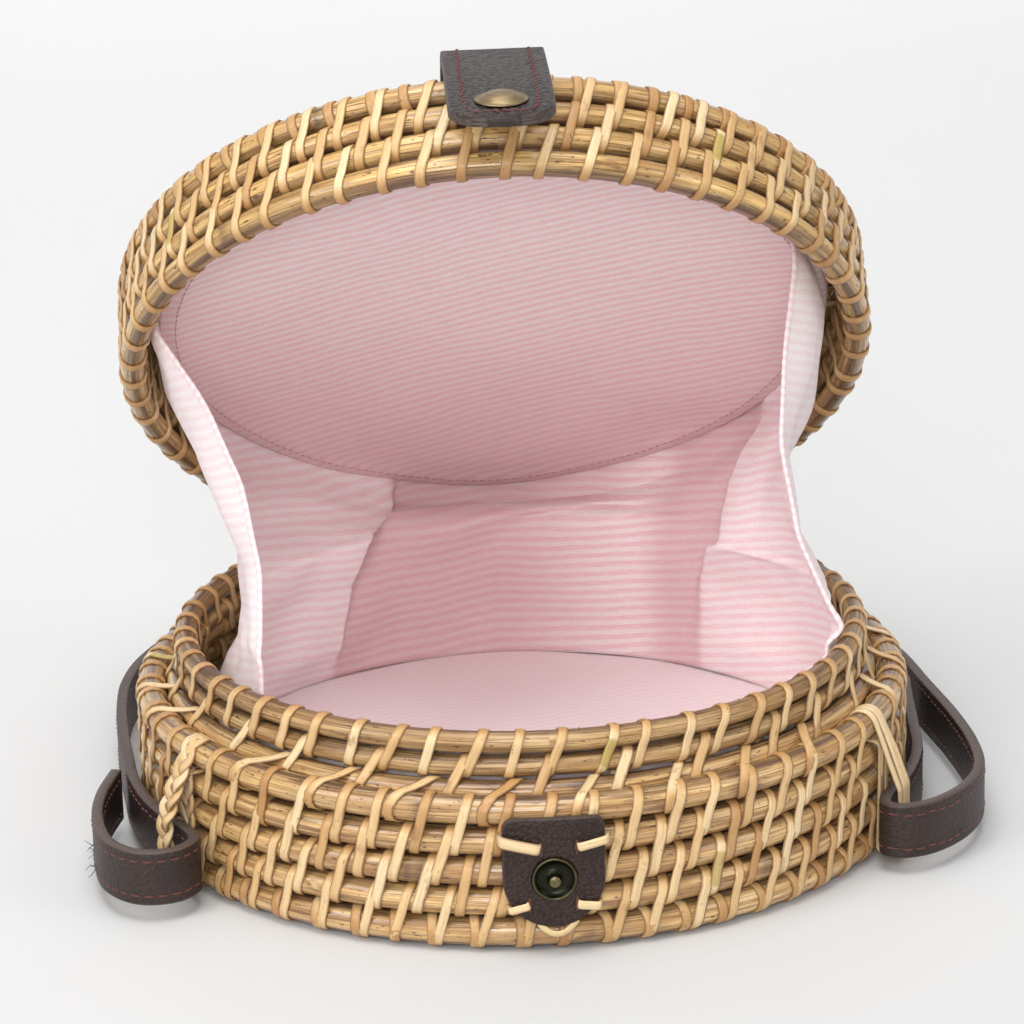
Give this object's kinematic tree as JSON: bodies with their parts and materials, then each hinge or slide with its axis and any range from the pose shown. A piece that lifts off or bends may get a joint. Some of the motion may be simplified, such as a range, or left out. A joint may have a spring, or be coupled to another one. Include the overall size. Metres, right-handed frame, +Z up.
{
  "type": "circle bag",
  "caption": "Round lidded bag of coiled cane with a striped cloth gusset, a leather snap tab that closes on a patch, and a leather strap hung in cane loops.",
  "frame": {"origin": "middle of the basket's underside, on the flat of the cane loop there, which is what a level floor touches", "axes": "+Z up, -Y the front with the snap, +Y the hinge side; drawn with the lid open and the tab lifted, as pictured"},
  "size_m": [0.2386, 0.2569, 0.2137],
  "materials": {
    "rattan": "peeled round cane with a soft gloss and brown scars",
    "cane": "split flat cane, satin",
    "leather": "dark brown pebbled leather with red-brown stitching",
    "cotton": "plain woven cotton with fine pink and white stripes",
    "brass": "antique brass, brushed and darkened",
    "snap_metal": "darkened antique brass with a brighter rim"
  },
  "bodies": {
    "basket": {"base_floor_coils": "rattan", "base_wall_coil_1": "rattan", "base_wall_coil_2": "rattan", "base_wall_coil_3": "rattan", "base_wall_coil_4": "rattan", "base_wall_coil_5": "rattan", "base_ledge_coil": "rattan", "base_collar_coil_lower": "rattan", "base_collar_coil_upper": "rattan", "base_floor_bindings": "cane", "base_foot_bindings": "cane", "base_wall_bindings": "cane", "base_collar_bindings": "cane", "patch_ties": "cane", "strap_ring_left": "cane", "strap_ring_right": "cane", "hinge_tie_left": "cane", "hinge_tie_right": "cane", "snap_patch": "leather", "base_lining_panel": "cotton", "base_lining_wall": "cotton", "gusset": "cotton", "snap_stud": "snap_metal"},
    "lid": {"lid_face_coils": "rattan", "lid_wall_coil_1": "rattan", "lid_wall_coil_2": "rattan", "lid_wall_coil_3": "rattan", "lid_wall_coil_4": "rattan", "lid_wall_bindings": "cane", "lid_face_bindings": "cane", "tab_ties": "cane", "tab_root": "leather", "lid_lining_panel": "cotton", "lid_lining_wall": "cotton"},
    "tab": {"closure_tab": "leather", "snap_cap": "brass", "snap_socket": "brass"},
    "strap": {"strap": "leather"}
  },
  "joints": [
    {"name": "lid_hinge", "type": "hinge", "parent": "basket", "child": "lid", "pos_m": [0, 0.1, 0.04135], "axis": [-0.9993, 0, -0.0384], "range_deg": [-45.2, 4], "deforming": ["gusset", "hinge_tie_left", "hinge_tie_right"]},
    {"name": "tab_fold", "type": "hinge", "parent": "lid", "child": "tab", "pos_m": [-0.00582, -0.02407, 0.21202], "axis": [-0.9996, 0.0272, -0.0113], "range_deg": [-38.8, 100]},
    {"name": "strap_lift", "type": "hinge", "parent": "basket", "child": "strap", "pos_m": [0, -0.066, 0.0046], "axis": [1, 0, 0], "range_deg": [0, 20], "deforming": ["strap_ring_left", "strap_ring_right"]}
  ]
}
